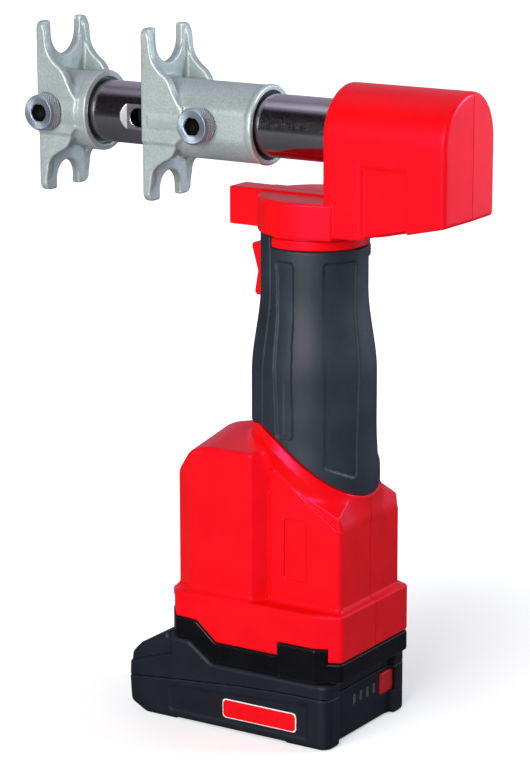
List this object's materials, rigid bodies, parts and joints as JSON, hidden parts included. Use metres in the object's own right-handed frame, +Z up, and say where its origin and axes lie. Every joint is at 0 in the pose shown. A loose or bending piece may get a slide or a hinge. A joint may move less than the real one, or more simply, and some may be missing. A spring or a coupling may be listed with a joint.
{
  "type": "axial press tool",
  "caption": "Cordless inline press tool: battery foot, rubber grip, swivelling head, and a guide tube with a fixed and a sliding fork jaw for pipe sleeves.",
  "frame": {"origin": "on the battery's flat base, under the axis of the grip and of the head's swivel", "axes": "+Z up along the grip, -X to the front where the jaws point, +Y to the tool's right"},
  "size_m": [0.2366, 0.0766, 0.3384],
  "materials": {
    "red_shell": "satin moulded red plastic",
    "black_shell": "fine-textured black plastic",
    "grip_rubber": "soft dark grey overmoulded rubber",
    "cast_jaw": "shot-blasted silver casting",
    "tube_steel": "polished hard steel",
    "screw_steel": "zinc-plated steel",
    "red_button": "glossy red plastic",
    "lens": "clear light bars",
    "cells": "sleeved cells",
    "circuit": "green circuit board",
    "contact": "plated contact blades",
    "machine_steel": "machined steel",
    "alloy": "machined alloy",
    "seal": "black sealing rubber"
  },
  "bodies": {
    "tool_body": {"base_shoe": "black_shell", "terminal_blades": "contact", "control_board": "circuit", "housing_left": "red_shell", "housing_right": "red_shell", "housing_screws": "screw_steel", "grip_sleeve": "grip_rubber", "neck_ring": "red_shell", "motor_can": "machine_steel", "motor_cap": "black_shell", "motor_bearings": "machine_steel", "ring_gear": "machine_steel", "pump_block": "alloy", "oil_bladder": "seal", "switch_module": "black_shell", "rocker_pin": "machine_steel", "swivel_spigot": "machine_steel", "swivel_seals": "seal"},
    "battery": {"pack_tub": "black_shell", "pack_cover": "black_shell", "pack_cells": "cells", "gauge_board": "circuit", "gauge_bars_lens": "lens", "pack_screws": "screw_steel"},
    "gauge_key": {"gauge_button": "red_button"},
    "latch_key": {"latch_button": "black_shell"},
    "rocker": {"rocker_trigger": "red_button"},
    "motor_rotor": {"armature": "machine_steel"},
    "carrier": {"planet_carrier": "machine_steel", "eccentric_bearing": "machine_steel"},
    "planet_1": {"planet_gear_1": "machine_steel"},
    "planet_2": {"planet_gear_2": "machine_steel"},
    "planet_3": {"planet_gear_3": "machine_steel"},
    "piston": {"pump_piston": "machine_steel"},
    "head": {"head_left": "red_shell", "head_right": "red_shell", "head_screws": "screw_steel", "cylinder_block": "machine_steel", "cylinder_cap": "machine_steel", "guide_tube": "tube_steel", "tube_plug": "machine_steel", "front_jaw": "cast_jaw", "return_spring": "machine_steel"},
    "press": {"ram": "machine_steel", "piston_seal": "seal", "press_jaw": "cast_jaw", "wiper_ring": "seal"},
    "front_screw": {"front_lock_screw": "screw_steel"},
    "press_screw": {"press_lock_screw": "screw_steel"}
  },
  "joints": [
    {"name": "battery_slide", "type": "slide", "parent": "tool_body", "child": "battery", "axis": [-1, 0, 0], "range_m": [0, 0.085]},
    {"name": "gauge_press", "type": "slide", "parent": "battery", "child": "gauge_key", "axis": [-1, 0, 0], "range_m": [0, 0.0006], "stiffness_N_per_m": 800},
    {"name": "latch_press", "type": "slide", "parent": "battery", "child": "latch_key", "axis": [1, 0, 0], "range_m": [0, 0.003], "stiffness_N_per_m": 800},
    {"name": "rocker_tilt", "type": "hinge", "parent": "tool_body", "child": "rocker", "pos_m": [-0.0192, 0, 0.225], "axis": [0, 1, 0], "range_deg": [-4, 4], "stiffness_Nm_per_rad": 0.6},
    {"name": "head_swivel", "type": "hinge", "parent": "tool_body", "child": "head", "pos_m": [0, 0, 0.246], "axis": [0, 0, 1], "range_deg": [-175, 175]},
    {"name": "press_stroke", "type": "slide", "parent": "head", "child": "press", "axis": [-1, 0, 0], "range_m": [0, 0.032], "stiffness_N_per_m": 1500, "deforming": ["return_spring"]},
    {"name": "front_screw_turn", "type": "hinge", "parent": "head", "child": "front_screw", "pos_m": [-0.1441, 0, 0.2942], "axis": [0, -1, 0], "continuous": true},
    {"name": "press_screw_turn", "type": "hinge", "parent": "press", "child": "press_screw", "pos_m": [-0.0542, 0, 0.2942], "axis": [0, -1, 0], "continuous": true},
    {"name": "motor_spin", "type": "hinge", "parent": "tool_body", "child": "motor_rotor", "pos_m": [0, 0, 0.11], "axis": [0, 0, 1], "continuous": true},
    {"name": "carrier_spin", "type": "hinge", "parent": "tool_body", "child": "carrier", "pos_m": [0, 0, 0.15], "axis": [0, 0, 1], "continuous": true},
    {"name": "planet_1_spin", "type": "hinge", "parent": "carrier", "child": "planet_1", "pos_m": [0.009, 0, 0.148], "axis": [0, 0, 1], "continuous": true},
    {"name": "planet_2_spin", "type": "hinge", "parent": "carrier", "child": "planet_2", "pos_m": [-0.0045, 0.00779, 0.148], "axis": [0, 0, 1], "continuous": true},
    {"name": "planet_3_spin", "type": "hinge", "parent": "carrier", "child": "planet_3", "pos_m": [-0.0045, -0.00779, 0.148], "axis": [0, 0, 1], "continuous": true},
    {"name": "pump_stroke", "type": "slide", "parent": "tool_body", "child": "piston", "axis": [1, 0, 0], "range_m": [0, 0.002]}
  ],
  "couplings": [
    {"joint": "carrier_spin", "follows": "motor_spin", "ratio": 0.22222},
    {"joint": "planet_1_spin", "follows": "motor_spin", "ratio": -0.62222},
    {"joint": "planet_2_spin", "follows": "motor_spin", "ratio": -0.62222},
    {"joint": "planet_3_spin", "follows": "motor_spin", "ratio": -0.62222}
  ]
}
